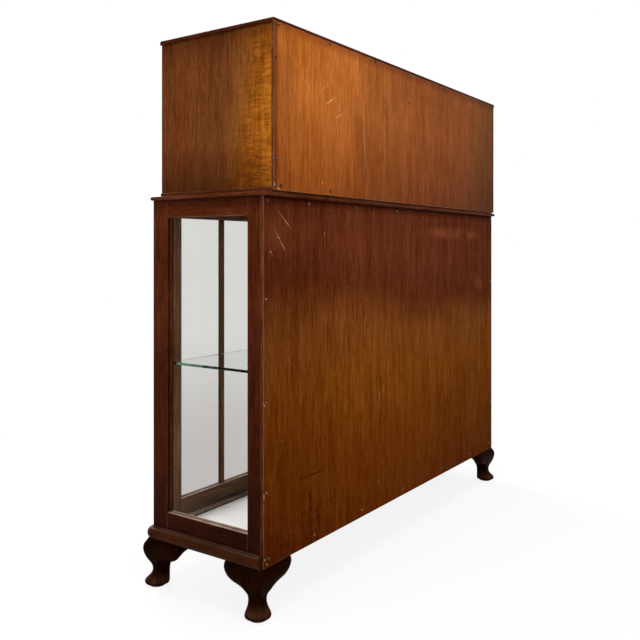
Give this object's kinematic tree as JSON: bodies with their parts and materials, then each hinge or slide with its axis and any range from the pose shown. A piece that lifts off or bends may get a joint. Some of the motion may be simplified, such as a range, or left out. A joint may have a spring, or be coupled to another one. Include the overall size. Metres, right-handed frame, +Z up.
{
  "type": "fitted cabinet",
  "caption": "Glazed collector's cabinet on short cabriole legs, with hinged glass doors, a glass shelf and a closed upper case fitted with sliding drawers.",
  "frame": {"origin": "on the floor, under the middle of the whole cabinet's box", "axes": "+X along the width, to the right of someone facing the front; the front faces -Y; +Z up"},
  "size_m": [1.2454, 0.3602, 1.2455],
  "materials": {
    "mahogany": "stained and polished mahogany, semi-gloss",
    "dark_mahogany": "very dark stained mahogany, semi-gloss",
    "back_plywood": "stained plywood with upright grain, satin",
    "inner_wood": "plain sawn hardwood, matt",
    "white_lining": "white painted board",
    "window_glass": "clear flat glass",
    "shelf_glass": "clear plate glass with greenish edges",
    "hinge_brass": "dulled brass",
    "screw_steel": "dulled steel"
  },
  "bodies": {
    "carcass": {"back_rails": "inner_wood", "back_screws": "screw_steel", "base_board": "dark_mahogany", "carcass_hinge_leaves": "hinge_brass", "door_stop_strip": "mahogany", "drawer_rails": "inner_wood", "floor_lining": "white_lining", "glass_shelf": "shelf_glass", "leg_front_left": "dark_mahogany", "leg_front_right": "dark_mahogany", "leg_rear_left": "dark_mahogany", "leg_rear_right": "dark_mahogany", "lower_back_panel": "back_plywood", "mid_board": "mahogany", "shelf_pegs": "screw_steel", "side_glass_beads": "mahogany", "side_glass_left": "window_glass", "side_glass_right": "window_glass", "side_rails_left": "mahogany", "side_rails_right": "mahogany", "side_stiles_left": "mahogany", "side_stiles_right": "mahogany", "upper_back_panel": "back_plywood", "upper_bottom_board": "inner_wood", "upper_divider": "inner_wood", "upper_side_left": "mahogany", "upper_side_right": "mahogany", "upper_top_board": "mahogany"},
    "door_left": {"door_glass_left": "window_glass", "door_glazing_bars_left": "mahogany", "door_hinge_leaves_left": "hinge_brass", "door_hinge_stile_left": "mahogany", "door_knob_left": "dark_mahogany", "door_meeting_stile_left": "mahogany", "door_rails_left": "mahogany"},
    "door_right": {"door_glass_right": "window_glass", "door_glazing_bars_right": "mahogany", "door_hinge_leaves_right": "hinge_brass", "door_hinge_stile_right": "mahogany", "door_knob_right": "dark_mahogany", "door_meeting_stile_right": "mahogany", "door_rails_right": "mahogany"},
    "drawer_left_bottom": {"drawer_left_bottom_box": "inner_wood", "drawer_left_bottom_front": "mahogany", "drawer_left_bottom_knobs": "dark_mahogany"},
    "drawer_left_middle": {"drawer_left_middle_box": "inner_wood", "drawer_left_middle_front": "mahogany", "drawer_left_middle_knobs": "dark_mahogany"},
    "drawer_left_top": {"drawer_left_top_box": "inner_wood", "drawer_left_top_front": "mahogany", "drawer_left_top_knobs": "dark_mahogany"},
    "drawer_right_bottom": {"drawer_right_bottom_box": "inner_wood", "drawer_right_bottom_front": "mahogany", "drawer_right_bottom_knobs": "dark_mahogany"},
    "drawer_right_middle": {"drawer_right_middle_box": "inner_wood", "drawer_right_middle_front": "mahogany", "drawer_right_middle_knobs": "dark_mahogany"},
    "drawer_right_top": {"drawer_right_top_box": "inner_wood", "drawer_right_top_front": "mahogany", "drawer_right_top_knobs": "dark_mahogany"}
  },
  "joints": [
    {"name": "door_right_swing", "type": "hinge", "parent": "carcass", "child": "door_right", "pos_m": [0.57925, -0.1655, 0.506], "axis": [0, 0, 1], "range_deg": [0, 110]},
    {"name": "door_left_swing", "type": "hinge", "parent": "carcass", "child": "door_left", "pos_m": [-0.57925, -0.1655, 0.506], "axis": [0, 0, -1], "range_deg": [0, 110]},
    {"name": "drawer_left_bottom_slide", "type": "slide", "parent": "carcass", "child": "drawer_left_bottom", "axis": [0, -1, 0], "range_m": [0, 0.21]},
    {"name": "drawer_left_middle_slide", "type": "slide", "parent": "carcass", "child": "drawer_left_middle", "axis": [0, -1, 0], "range_m": [0, 0.21]},
    {"name": "drawer_left_top_slide", "type": "slide", "parent": "carcass", "child": "drawer_left_top", "axis": [0, -1, 0], "range_m": [0, 0.21]},
    {"name": "drawer_right_bottom_slide", "type": "slide", "parent": "carcass", "child": "drawer_right_bottom", "axis": [0, -1, 0], "range_m": [0, 0.21]},
    {"name": "drawer_right_middle_slide", "type": "slide", "parent": "carcass", "child": "drawer_right_middle", "axis": [0, -1, 0], "range_m": [0, 0.21]},
    {"name": "drawer_right_top_slide", "type": "slide", "parent": "carcass", "child": "drawer_right_top", "axis": [0, -1, 0], "range_m": [0, 0.21]}
  ]
}
